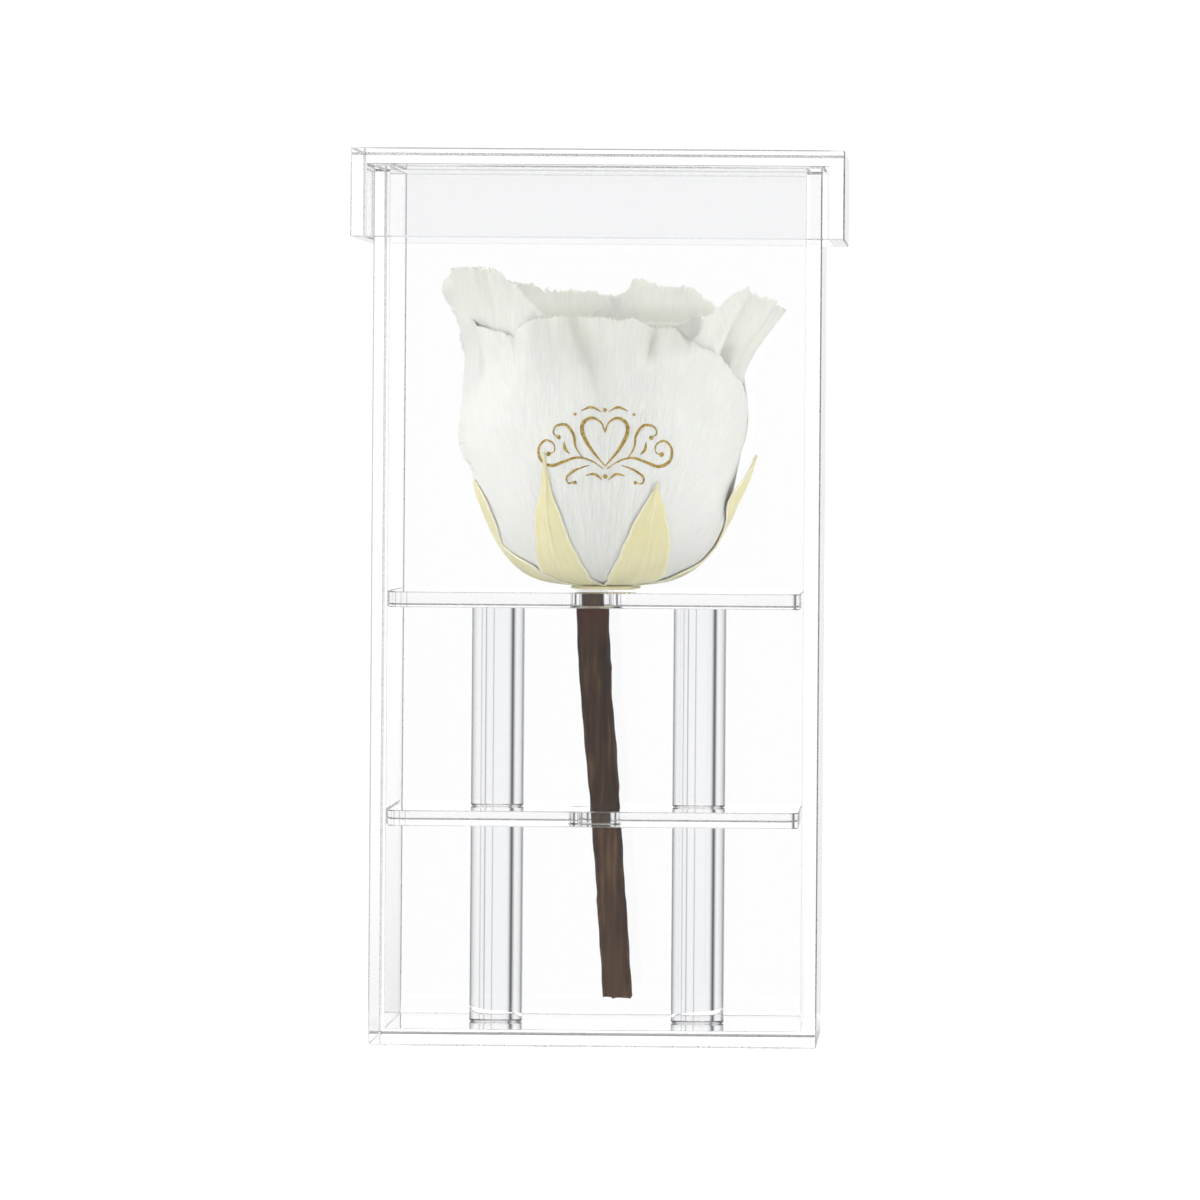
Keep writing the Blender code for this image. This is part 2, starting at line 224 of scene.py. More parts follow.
def apply_modifier(piece, kind, **settings):
    select_pieces(piece)
    added = piece.modifiers.new(kind.lower(), kind)
    for name, value in settings.items():
        setattr(added, name, value)
    bpy.ops.object.modifier_apply(modifier=added.name)


def break_edges(piece, width=EDGE):
    """A flat chamfer on every sharp edge, narrow in inner corners. It takes the second finish."""
    for _ in range(2):
        piece.data.materials.append(None)
    cage = bmesh.new()
    cage.from_mesh(piece.data)
    weights = [
        (edge.calc_face_angle(0.0) > SHARP) * (1.0 if edge.is_convex else INNER_EDGE)
        for edge in cage.edges
    ]
    cage.free()
    kept = piece.data.attributes.new("bevel_weight_edge", "FLOAT", "EDGE")
    kept.data.foreach_set("value", weights)
    apply_modifier(piece, "BEVEL", width=width, segments=1, limit_method="WEIGHT", material=1)


def fit_out(piece, finishes, slot, *nodes):
    """Paint a finished piece, tie it to the frame and let it stand for its nodes."""
    for place, finish in enumerate(finishes):
        if place < len(piece.data.materials):
            piece.data.materials[place] = finish
        else:
            piece.data.materials.append(finish)
    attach(piece, "root")
    if nodes:
        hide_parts(*nodes)


def glued_case(kind, half, low, high, side):
    """A square case of glued sheets, open at its top (side 1) or below (-1), and its finishes."""
    made = new_block("clear_" + kind, (-half, -half, low), (half, half, high))
    hollow_out(made, side, SHEET, high - low - SHEET)
    break_edges(made)
    return made, [clear_acrylic(kind + "_acrylic", SHEET_TINT), matt_edge(kind + "_edge", half)]


box, finishes = glued_case("box", BOX_WIDE / 2, 0, BOX_TALL, 1)
fit_out(box, finishes, "box_front", "box_floor", "box_front", "box_back", "box_left", "box_right")

# Lid
# The lid is a wider plate with four low strips glued under its edges. It lifts off and rests on
# the rim of the box, and its skirt hangs round the outside with a little play.

LID_WIDE = 110 * MM
LID_LOW = 180 * MM
LID_HIGH = 200 * MM

lid, finishes = glued_case("lid", LID_WIDE / 2, LID_LOW, LID_HIGH, -1)
fit_out(lid, finishes, "lid_top", "lid_top", "lid_front", "lid_back", "lid_left", "lid_right")

# Shelves
# Two loose square plates of the same sheet, laser cut with rounded corners and one round hole
# each, which the stem passes through. They stand on the rods inside the box.

SHELF_WIDE = 91.8 * MM
SHELF_X = -0.3 * MM
SHELF_CORNER = 3.5 * MM
SHELF_EDGE = 0.2 * MM
SHELF_TINT = (0.992, 0.994, 0.998)
SHELF_FEET = {"shelf_lower": 48.8 * MM, "shelf_upper": 97.6 * MM}
HOLE_X = -0.6 * MM
HOLE_RADIUS = 5.8 * MM
ROUND_SIDES = 96
ROUND = math.radians(20)  # how far faces turn, to be shaded as one curve

inner_edge = matt_edge("shelf_edge", BOX_WIDE / 2)


def new_cylinder(name, x, low, high, radius):
    select_pieces()
    bpy.ops.mesh.primitive_cylinder_add(
        vertices=ROUND_SIDES, radius=radius, depth=high - low, location=(x, 0, (low + high) / 2)
    )
    return set_primitive(name)


def round_upright_edges(piece, radius):
    select_faces(piece, lambda face: False)
    bpy.ops.mesh.select_mode(type="EDGE")
    cage = bmesh.from_edit_mesh(piece.data)
    for edge in cage.edges:
        along = edge.verts[0].co - edge.verts[1].co
        edge.select_set(abs(along.z) > FACE_TILT * along.length)
    bmesh.update_edit_mesh(piece.data)
    bpy.ops.mesh.bevel(offset=radius, segments=10)
    bpy.ops.object.mode_set(mode="OBJECT")


for node, foot in SHELF_FEET.items():
    half = SHELF_WIDE / 2
    shelf = new_block(
        node + "_plate", (SHELF_X - half, -half, foot), (SHELF_X + half, half, foot + SHEET)
    )
    round_upright_edges(shelf, SHELF_CORNER)
    drill = new_cylinder("drill", HOLE_X, foot - SHEET, foot + 2 * SHEET, HOLE_RADIUS)
    apply_modifier(shelf, "BOOLEAN", operation="DIFFERENCE", object=drill, solver="EXACT")
    bpy.data.objects.remove(drill)
    break_edges(shelf, SHELF_EDGE)
    bpy.ops.object.shade_smooth_by_angle(angle=ROUND)
    finish = clear_acrylic(node + "_acrylic", SHELF_TINT)
    fit_out(shelf, [finish, inner_edge], node, node)

# Rods
# Four round acrylic rods cut to one length and polished on their ends. A pair stands under each
# shelf, one each side of the stem, with a hair of air between their ends and the sheets.

ROD_RADIUS = 6 * MM
ROD_X = 22.8 * MM
ROD_LONG = 45.3 * MM
ROD_TINT = (0.91, 0.92, 0.94)
HAIR = 0.04 * MM

for level, foot in (("lower", SHEET), ("upper", SHELF_FEET["shelf_lower"] + SHEET)):
    for side, x in (("left", SHELF_X - ROD_X), ("right", SHELF_X + ROD_X)):
        node = f"rod_{level}_{side}"
        rod = new_cylinder(node + "_bar", x, foot + HAIR, foot + ROD_LONG - HAIR, ROD_RADIUS)
        break_edges(rod)
        bpy.ops.object.shade_smooth_by_angle(angle=ROUND)
        finish = clear_acrylic(node + "_acrylic", ROD_TINT)
        fit_out(rod, [finish, inner_edge], node, node)

# Stem
# The rose's own stem, dried to dark brown wood with fine ribs along it and a few low knots. It
# leans through both holes, and its foot is cut square with a worn, fibrous end.

STEM_RUN = (
    # how far right its middle is, the height over the table, and its radius, in mm
    (4.5, 9.4, 3.35), (3.9, 18, 3.3), (2.6, 36, 3.25), (1.5, 50.5, 3.3), (0.4, 64, 3.5),
    (-0.9, 78, 3.6), (-1.7, 92, 3.65), (-1.9, 101.1, 3.7),
)
STEM_KNOTS = ((31, 0.3), (57, 0.22), (84, 0.25))  # height and how far each stands out, mm
KNOT_TALL = 1.1
STEM_GRID = (56, 190)


def new_grid(name, across, along):
    """A grid with a UV map, with how far across (-1 to 1) and along (0 to 1) each point is."""
    select_pieces()
    bpy.ops.mesh.primitive_grid_add(x_subdivisions=across, y_subdivisions=along, size=2)
    made = bpy.context.object
    made.name = name
    flat = np.empty(len(made.data.vertices) * 3)
    made.data.vertices.foreach_get("co", flat)
    flat = flat.reshape(-1, 3)
    return made, flat[:, 0], (flat[:, 1] + 1) / 2


def put_points(piece, x, y, z):
    """Move a mesh's points to these places, given in mm."""
    piece.data.vertices.foreach_set("co", np.stack([x, y, z], axis=1).ravel() * MM)
    piece.data.update()


def close_up(piece):
    """Merge a rolled grid's seam, cap its open ends and turn its faces outwards."""
    select_faces(piece, lambda face: True)
    bpy.ops.mesh.remove_doubles(threshold=0.0001 * MM)
    bpy.ops.mesh.select_mode(type="EDGE")
    bpy.ops.mesh.select_all(action="DESELECT")
    bpy.ops.mesh.select_non_manifold()
    bpy.ops.mesh.fill_holes(sides=0)
    bpy.ops.mesh.select_all(action="SELECT")
    bpy.ops.mesh.normals_make_consistent(inside=False)
    bpy.ops.object.mode_set(mode="OBJECT")


stem, turn, share = new_grid("stem_wood", *STEM_GRID)
run = np.array(STEM_RUN)
turn = turn * math.pi
height = run[0, 1] + share * (run[-1, 1] - run[0, 1])
thick = np.interp(height, run[:, 1], run[:, 2])
thick = thick + 0.05 * np.sin(height * 0.31) + 0.06 * np.sin(height * 0.83 + 2 * turn)
thick += 0.05 * np.cos(9 * turn + height * 0.05) + 0.035 * np.cos(17 * turn - height * 0.07)
for level, out in STEM_KNOTS:
    bulge = out * np.exp(-(((height - level) / KNOT_TALL) ** 2))
    thick += bulge * (0.6 + 0.4 * np.cos(turn - level))
fibres = 0.28 * np.sin(5 * turn) + 0.2 * np.sin(11 * turn + 1) + 0.12 * np.sin(23 * turn)
ragged = height + fibres * np.clip(1 - share * 14, 0, 1)
middle = np.interp(height, run[:, 1], run[:, 0])
put_points(stem, middle + thick * np.sin(turn), -thick * np.cos(turn), ragged)
close_up(stem)
bpy.ops.object.shade_smooth_by_angle(angle=math.radians(50))

wood, shader, place = new_finish("dried_stem", Specular_IOR_Level=0.15)
stretched = place.node("Mapping", None, {"Vector": place, "Scale": (900.0, 900.0, 60.0)})
grain = stretched.noise(1.0, 5.0)
bark = (0.75 * grain + 0.25 * place.noise(130.0, 3.0)).ramp(
    (0.30, (0.019, 0.008, 0.004)), (0.52, (0.048, 0.024, 0.012)), (0.72, (0.104, 0.060, 0.033))
)
reddish = place.axes()[2].share(88 * MM, 101 * MM)
feed(shader, "Base Color", (0.6 * reddish).mix(bark, (0.10, 0.022, 0.015, 1)))
feed(shader, "Roughness", 0.45 + 0.35 * grain)
feed(shader, "Normal", grain.bump(0.3 * MM))
fit_out(stem, [wood], "rose_stem", "rose_stem")

# Petals' common form
# Every petal is a thin dished sheet round one axis, which leans a little from the calyx up. A
# side view gives the outermost petals' radius by height over the bloom's foot, all in mm.

BLOOM_Z = 102.95
BLOOM_TALL = 71
BLOOM_FOOT_X = 1.1
BLOOM_HEAD_X = 0.2
BOWL = (
    # radius, then height
    (2.0, 0.0), (9.5, 0.3), (16.8, 2.2), (22.2, 7.0), (26.0, 13.8), (29.1, 21.0), (31.3, 28.0),
    (32.7, 35.0), (32.6, 43.0), (32.3, 50.0), (32.8, 57.0), (34.0, 63.0), (36.0, 71.0),
)


def between(ends, share):
    """From the first of two ends to the second, by this share."""
    return ends[0] + (ends[1] - ends[0]) * share


def smooth(low, high, x):
    """0 below low, 1 above high, and an even rise between."""
    share = np.clip((x - low) / (high - low), 0, 1)
    return share * share * (3 - 2 * share)


def spline_through(points, steps=12):
    """Many points along a smooth curve through a few, as an array."""
    p = np.array(points, float)
    p = np.vstack([2 * p[0] - p[1], p, 2 * p[-1] - p[-2]])
    s = (np.arange(steps) / steps)[:, None]
    spans = [
        b
        + (c - a) / 2 * s
        + (2 * a - 5 * b + 4 * c - d) / 2 * s**2
        + (3 * b - a - 3 * c + d) / 2 * s**3
        for a, b, c, d in zip(p, p[1:], p[2:], p[3:])
    ]
    return np.vstack([*spans, p[-2]])


BOWL_LINE = spline_through(BOWL)
BOWL_RUN = np.concatenate([[0], np.cumsum(np.hypot(*np.diff(BOWL_LINE, axis=0).T))])
BOWL_LONG = BOWL_RUN[-1]


def bowl_radius(height):
    return np.interp(height, BOWL_LINE[:, 1], BOWL_LINE[:, 0])


def bowl_place(radius, degrees, height):
    """Points in mm from a radius and a turn round the leaning axis. 0 degrees is the front."""
    turn = np.radians(degrees)
    lean = BLOOM_FOOT_X + (BLOOM_HEAD_X - BLOOM_FOOT_X) * np.minimum(height / BLOOM_TALL, 1)
    return lean + radius * np.sin(turn), -radius * np.cos(turn), BLOOM_Z + height


# Calyx
# Five sepals on one small disc under the bloom, preserved cream yellow. They lie up the outside
# of the petals, each with a raised midrib and fine veins, and their tips are long and thin.

SEPAL_OFF = 0.42
SEPAL_THICK = 0.45
SEPAL_GRID = (30, 96)
SEPAL_FOOT = 3.0
SEPAL_LOWEST = -0.9  # no part of a sepal goes lower than this against the bloom's foot
SEPALS = (
    # on each: mm along the petals' outside from the foot, then the degrees of its two edges
    (
        (3, -75, 10), (8, -66, -4), (12, -57, -9), (16.7, -50, -12), (20.3, -44, -14.5),
        (23.5, -41, -16), (26.3, -38.5, -17.5), (29, -36.3, -19), (31.7, -34, -20),
        (35.2, -30.4, -21.7), (39.5, -27, -22.9), (43.7, -25, -23.2), (47.0, -24.1, -23.7),
    ),
    (
        (3, -12, 82), (8, -1, 66), (12, 2.5, 57), (17, 5.2, 47.6), (20.7, 8, 42.9),
        (24.2, 10.8, 38.8), (27.5, 13.6, 36), (31, 15.4, 32.5), (34.1, 18.8, 29.6),
        (36.3, 20.9, 27.2), (38.4, 22.7, 25), (40.2, 23.7, 24.1),
    ),
    (
        (3, -150, -40), (8, -138, -44), (12, -130, -45), (17.6, -122, -50), (20.7, -117, -61),
        (24, -110, -75), (26.5, -104, -72), (30, -98, -68.5), (33, -93, -68), (37, -84, -69),
        (40.5, -75.5, -74.5),
    ),
    (
        (3, 40, 140), (8, 56, 132), (12, 63, 125), (17, 70, 118), (20, 80, 114), (24, 86, 110),
        (28, 85, 106), (31, 78, 101), (34, 71, 96), (38, 69.5, 90), (42, 75, 87),
        (47.5, 84.5, 85.5),
    ),
    ((3, 130, 228), (10, 150, 208), (18, 163, 194), (26, 167, 190), (34, 172, 185), (43, 178, 179)),
)
# mm along, then how much further each stands off the petals there, and how crowned it is
SEPAL_STAND = (
    ((3, -0.1, 0.5), (12, -0.2, 0.5), (47, -0.1, 0.5)),
    ((3, -0.1, 0.5), (12, -0.2, 0.5), (36, -0.1, 0.5), (40, 0.2, 0.5)),
    ((3, 0.1, 0.3), (14, -0.05, 0.2), (40, -0.05, 0.3)),
    (
        (3, 0.1, 0.3), (10, -0.05, 0.15), (20, -0.1, 0.1), (30, -0.1, 0.1), (36, 0.9, 0.4),
        (42, 2.4, 0.4), (47.5, 3.3, 0.4),
    ),
    ((3, 0.0, 0.5), (43, 0.6, 0.5)),
)
# The bloom is fuller low down on its right side, and slimmer above: heights, then mm
RIGHT_BELLY = (
    (2, 5, 9, 14, 17, 20, 24, 30, 36, 42),
    (0, 0.8, 1.2, 1.2, 0.7, 0.1, -0.5, -1.1, -0.7, 0),
)
# radius, then height over its underside
CALYX_DISC = ((0.0, 0.0), (6.4, 0.0), (7.6, 0.25), (8.0, 0.6), (7.2, 1.0), (0.0, 1.15))
CALYX_LOW = 101.4
TURNED_SIDES = 72


def belly(degrees, height):
    """How much fuller the bloom is there, in mm."""
    return smooth(50, 78, degrees) * smooth(150, 120, degrees) * np.interp(height, *RIGHT_BELLY)


def thicken(piece, thick):
    apply_modifier(piece, "SOLIDIFY", thickness=thick * MM, offset=0.0)
    bpy.ops.object.shade_smooth()


def sepal_sheet(number, edges, stands):
    """One sepal, rolled a little at its edges and raised along its midrib."""
    piece, u, v = new_grid(f"sepal_{number}", *SEPAL_GRID)
    edges = spline_through(edges)
    run = SEPAL_FOOT + (edges[-1, 0] - SEPAL_FOOT) * v
    first, last = (np.interp(run, edges[:, 0], edges[:, side]) for side in (1, 2))
    radius = np.interp(run, BOWL_RUN, BOWL_LINE[:, 0])
    height = np.interp(run, BOWL_RUN, BOWL_LINE[:, 1])
    slope = np.arctan2(
        np.interp(run + 0.5, BOWL_RUN, BOWL_LINE[:, 1]) - height,
        np.interp(run + 0.5, BOWL_RUN, BOWL_LINE[:, 0]) - radius,
    )
    wide = np.radians(last - first) / 2 * radius
    ragged = 1 + (0.03 * np.sin(21 * v + number) + 0.02 * np.sin(47 * v)) * (np.abs(u) > 0.6)
    stand, crown = (np.interp(run, *np.array(stands).T[[0, column]]) for column in (1, 2))
    crown = crown * (1 - u * u) * smooth(0.15, 0.4, v) * np.minimum(wide / 3, 1)
    midrib = 0.2 * np.exp(-((u * wide / 0.4) ** 2)) * smooth(0.05, 0.2, v)
    rolled = 0.12 * smooth(0.80, 0.95, np.abs(u)) * smooth(1.0, 3.0, wide)
    edge = 0.1 * smooth(0.72, 1.0, np.abs(u)) * (1 + np.sin(9 * v + 2 * number + u))
    stand = SEPAL_OFF + stand + crown + midrib + rolled + edge * (wide > 1)
    degrees = (first + last) / 2 + u * ragged * (last - first) / 2
    radius = radius + belly(degrees, height) + stand * np.sin(slope)
    height = np.maximum(height - stand * np.cos(slope), SEPAL_LOWEST)
    put_points(piece, *bowl_place(radius, degrees, height))
    thicken(piece, SEPAL_THICK)
    return piece


def turned(name, profile, x, z):
    """A solid of revolution on an upright axis, from a profile of radius and height in mm."""
    piece, turn, share = new_grid(name, TURNED_SIDES, len(profile) - 1)
    line = np.array(profile, float)
    steps = np.rint(share * (len(profile) - 1)).astype(int)
    radius, height = line[steps, 0], line[steps, 1]
    put_points(
        piece, x + radius * np.sin(turn * np.pi), -radius * np.cos(turn * np.pi), z + height
    )
    close_up(piece)
    bpy.ops.object.shade_smooth()
    return piece


def join_pieces(pieces, name):
    select_pieces(*pieces)
    bpy.ops.object.join()
    pieces[0].name = name
    return pieces[0]


sepals = [sepal_sheet(*given) for given in zip(range(len(SEPALS)), SEPALS, SEPAL_STAND)]
calyx = join_pieces(
    [*sepals, turned("calyx_disc", CALYX_DISC, BLOOM_FOOT_X, CALYX_LOW)], "calyx_sepals"
)

cream, shader, place = new_finish(
    "preserved_sepal",
    Specular_IOR_Level=0.25,
    Subsurface_Weight=0.6,
    Subsurface_Radius=(1.0, 0.85, 0.5),
    Subsurface_Scale=1.2 * MM,
)
u, v, _ = place.node("UVMap").axes()
veins = place.node("CombineXYZ", None, {0: u * 38.0, 1: v * 3.0}).noise(1.0, 4.0)
cloud = place.noise(160.0, 3.0)
tone = (0.6 * veins + 0.4 * cloud).ramp(
    (0.25, (0.80, 0.70, 0.38)), (0.5, (0.86, 0.78, 0.47)), (0.75, (0.91, 0.85, 0.58))
)
# Painted highlight: the rolled edges and the midrib are painted a paler cream.
side = place.maths("ABSOLUTE", u - 0.5)
painted_highlight = place.maths("MAXIMUM", 0.75 * side.share(0.43, 0.485), 0.4 * side.share(0.035, 0.0))
feed(shader, "Base Color", painted_highlight.mix(tone, (0.93, 0.89, 0.70, 1)))
feed(shader, "Roughness", 0.62 + 0.2 * cloud)
feed(shader, "Normal", veins.bump(0.12 * MM))
fit_out(calyx, [cream], "rose_calyx", "rose_calyx")

# Outer petals
# Six broad petals, preserved white and soft. They stand round the bud from one foot, and each
# rim has its own line, given as azimuth and height, with curls, folds and a fine ruffle.

PETAL_THICK = 0.36
DEEPEST = 2.5  # how deep a fold is, to get the most painted shade
NIBBLE = 0.22
FLARE_TOP = 67  # where a petal has leant out in full
SEED = 11
BROAD = {"claw": 0.62, "lap": 0.0, "taper": 0.0, "start": 0.0, "lift": 0.0, "soft": 1.1}
BEHIND_THE_BUD = {**BROAD, "reach": 0.972, "lap": 0.75, "taper": 0.3}
# Each petal's middle, and how far it goes to each side. The claw is how wide its root is against
# that, reach its radius against the bowl's, and a lap turns one side in under its neighbour. A
# flare leans out by so many mm, from this height up, about this azimuth and this far to each side.
OUTER_PETALS = {
    "front": {
        **BROAD,
        "azimuth": -12, "half": 94, "claw": 1.0, "reach": 1.0,
        "rim": (
            (-106, 50.0), (-99, 54.5), (-92, 57.5), (-84, 59.0), (-78, 59.6), (-70, 59.4),
            (-62, 59.0), (-57, 57.6), (-51.5, 57.1), (-46.8, 56.6), (-42.6, 56.2), (-39.1, 55.7),
            (-37.5, 54.9), (-36.1, 56.1), (-35, 57.2), (-32.9, 57.9), (-28.8, 58.9),
            (-25.1, 59.4), (-21.8, 59.6), (-16, 59.8), (-8, 59.8), (0, 59.8), (3.6, 59.5),
            (7.5, 59.1), (12.5, 59.7), (15.4, 59.0), (20.3, 57.6), (25.8, 57.6), (32.5, 57.3),
            (36.4, 56.2), (42.8, 53.4), (52.8, 52.0), (58, 50.0), (63, 47.8), (72.4, 45.3),
            (78, 43.4), (82, 38.0),
        ),
        "flare": (0.8, 58, -86, 30), "grid": (250, 150),
    },
    "right": {
        **BROAD,
        "azimuth": 88, "half": 54, "reach": 0.955,
        "rim": (
            (34, 53.0), (37, 58.0), (39.1, 59.6), (47.3, 60.7), (50.5, 62.1), (54.8, 64.6),
            (58.7, 66.4), (60.4, 66.5), (65, 65.6), (72.8, 64.1), (84, 62.4), (92, 61.6),
            (104, 62.2), (118, 61.5), (130, 58.0), (137, 54.0), (142, 48.0),
        ),
        "flare": (9.7, 44, 90, 30), "grid": (170, 130),
    },
    "back_right": {
        **BEHIND_THE_BUD,
        "azimuth": 153, "half": 57,
        "rim": (
            (120.8, 50.0), (126, 58.0), (131.7, 62.5), (135.1, 63.2), (141.3, 65.1),
            (145.2, 66.7), (148.1, 67.3), (154.4, 67.3), (160.4, 67.6), (164.3, 68.5),
            (168.2, 69.1), (169.7, 69.6), (170.8, 68.9), (171.8, 66.8), (176.6, 65.0),
            (179.3, 63.9), (182.5, 62.2), (186.0, 60.3), (189.0, 58.0), (192.5, 50.0),
        ),
        "flare": (1.5, 56, 140, 40), "grid": (140, 110),
    },
    "back_left": {
        **BEHIND_THE_BUD,
        "azimuth": 200, "half": 48,
        "rim": (
            (166.4, 51.0), (171, 60.0), (176.6, 64.8), (178.6, 65.2), (186.9, 66.3),
            (196.3, 66.5), (201.4, 66.0), (202.7, 66.9), (204.1, 66.2), (208.6, 67.8),
            (215.4, 68.0), (217.6, 68.2), (222, 66.4), (228, 60.0), (233.6, 50.0),
        ),
        "flare": (1.5, 56, 210, 40), "grid": (140, 110),
    },
    "left": {
        **BEHIND_THE_BUD,
        "azimuth": -112, "half": 48,
        "rim": (
            (-145.6, 48.0), (-138, 57.0), (-126, 64.4), (-118, 64.9), (-108, 63.6), (-96, 64.2),
            (-86, 57.0), (-78.4, 48.0),
        ),
        "flare": (3.0, 52, -125, 30), "grid": (140, 104),
    },
    "corner": {
        **BROAD,
        "azimuth": -61, "half": 47, "reach": 0.968,
        "rim": (
            (-108, 52.0), (-103, 58.5), (-97, 63.5), (-90, 67.0), (-83, 69.4), (-77, 70.2),
            (-74.7, 70.4), (-70, 70.3), (-65, 70.8), (-56, 70.9), (-49, 70.7), (-41.7, 70.0),
            (-38.6, 68.0), (-34.8, 66.9), (-31.7, 65.1), (-27.2, 62.4), (-24.2, 60.4),
            (-20, 58.0), (-14, 54.0),
        ),
        "flare": (1.0, 58, -86, 34), "grid": (170, 150),
    },
}


def nibbled(degrees, seed):
    """The small unevenness of a petal's rim, in mm, along its degrees."""
    rng = np.random.default_rng(seed)
    bites = [np.sin(degrees * rng.uniform(0.5, 4.5) + rng.uniform(0, 6)) for _ in range(7)]
    return NIBBLE * sum(bites) / 2


def flared(petal, radius, degrees, height):
    """A radius with the petal's lean outwards added."""
    lean, start, middle, within = petal["flare"]
    off = (degrees - middle + 180) % 360 - 180
    return radius + lean * smooth(start, FLARE_TOP, height) * np.exp(-((off / within) ** 2))


def petal_form(petal, u, t):
    """Radius, degrees and height of a petal's points: u across it, t from its root to its rim."""
    rim_degrees = petal["azimuth"] + u * petal["half"] * (1 - petal["taper"])
    top = petal["rim_line"](rim_degrees) - petal["lift"]
    run = np.interp(top, BOWL_LINE[:, 1], BOWL_RUN)
    run = run * (petal["start"] + (1 - petal["start"]) * t)
    share = run / BOWL_LONG
    height = np.interp(run, BOWL_RUN, BOWL_LINE[:, 1]) + petal["lift"]
    radius = np.interp(run, BOWL_RUN, BOWL_LINE[:, 0]) * petal["reach"]
    radius = radius - petal["lap"] * u * smooth(0.05, 0.3, share)
    spread = petal["claw"] + (1 - petal["claw"]) * smooth(0.0, 0.5, share)
    spread = spread - petal["taper"] * smooth(0.6, 1.0, share)
    degrees = petal["azimuth"] + u * petal["half"] * spread
    radius = flared(petal, radius, degrees, height)
    rise = smooth(petal["top"] - 16, petal["top"], height)
    radius = radius + petal["wave"] * rise * np.sin(petal["waves"] * u + petal["phase"])
    return radius + petal["reach"] * belly(degrees, height), degrees, height


def crumple(petal, radius, degrees, height):
    """The soft unevenness of a dried petal: broad dents, then a fine ruffle near its rim."""
    rng = np.random.default_rng(petal["seed"])
    arc = np.radians(degrees) * 30
    soft = np.zeros_like(radius)
    for _ in range(9):
        long = rng.uniform(9, 26)
        way = rng.normal(0, 0.6)
        wave = arc * math.cos(way) + height * math.sin(way)
        soft += math.sin(rng.uniform(0, 6)) * np.sin(math.tau * wave / long + rng.uniform(0, 6))
    near = np.exp(-(petal["rim_line"](degrees) - height) / 4.5)
    ruffle = np.zeros_like(radius)
    for _ in range(6):
        ruffle += np.sin(math.tau * arc / rng.uniform(2.2, 6.5) + rng.uniform(0, 6)) / 6
    fade = smooth(6, 20, height)
    return radius + petal["soft"] * fade * (0.11 * soft + 0.42 * ruffle * near)


def crease(degrees, height, path, left, right):
    """1 on a line given as height and degrees, falling off within these widths either side."""
    line = np.array(path)
    off = degrees - np.interp(height, line[:, 0], line[:, 1])
    return np.exp(-np.where(off < 0, (off / left) ** 2, (off / right) ** 2))


def tuck_under(degrees, height, fold):
    """How deep a fold is, in mm: it slopes in from its left and comes back out on a wall.

    Its rows are a height, its deepest line in degrees, its slope and its wall, and its depth."""
    rows = np.array(fold, float)
    line, slope, wall, depth = (np.interp(height, rows[:, 0], rows[:, n]) for n in (1, 2, 3, 4))
    off = degrees - line
    inward = np.clip(1 + off / (1.35 * slope), 0, 1) ** 2.2
    return depth * np.where(off < 0, inward, np.exp(-((off / wall) ** 2)))


# Two folds: height, deepest line, slope and wall in degrees, and depth.
VALLEY = (
    (28, 0.0, 3, 3, 0.0), (35, 0.0, 3, 3, 0.3), (39.6, -0.5, 4, 5, 0.8),
    (45.6, -3.0, 7.5, 5.5, 1.7), (49, -5.3, 8.5, 7, 2.3), (51.2, -7.3, 8, 8, 2.5),
    (54.3, -9.4, 6.5, 8, 2.5), (58, -12, 5.5, 8, 2.3),
)
HOLLOW = (
    (47, 18.5, 2, 2, 0.0), (48.6, 19, 3, 2, 0.2), (50.1, 19.9, 6, 2, 0.9),
    (51.5, 20.5, 9, 2.5, 1.6), (54.3, 21.8, 13, 3, 2.2), (57.4, 23.3, 16, 3.5, 2.2),
    (60, 24.5, 17, 3.5, 2.1),
)
PLEATS = (-14, -8.5, -4, -0.5, 4, 9, 15)
# How far the left edges of the front petal and of the corner stand out: heights, then mm.
LEFT_EDGE = (
    (13.7, 19.8, 25.0, 28.9, 32.9, 37.9, 42.4, 46.5, 52.2, 54.9, 60.0),
    (0.4, 0.4, -0.7, 0.6, 0.6, -0.2, -0.3, -1.1, 0.9, 1.4, 0.2),
)
CORNER_EDGE = ((56.0, 60.0, 62.0, 64.5, 67.0, 69.0, 71.0), (0.2, 0.4, 1.2, 1.9, 1.3, -0.3, -1.4))


def spot(degrees, height, middle, across, level, tall):
    """1 at a point, falling off within this many degrees across and mm up and down."""
    return np.exp(-(((degrees - middle) / across) ** 2) - ((height - level) / tall) ** 2)


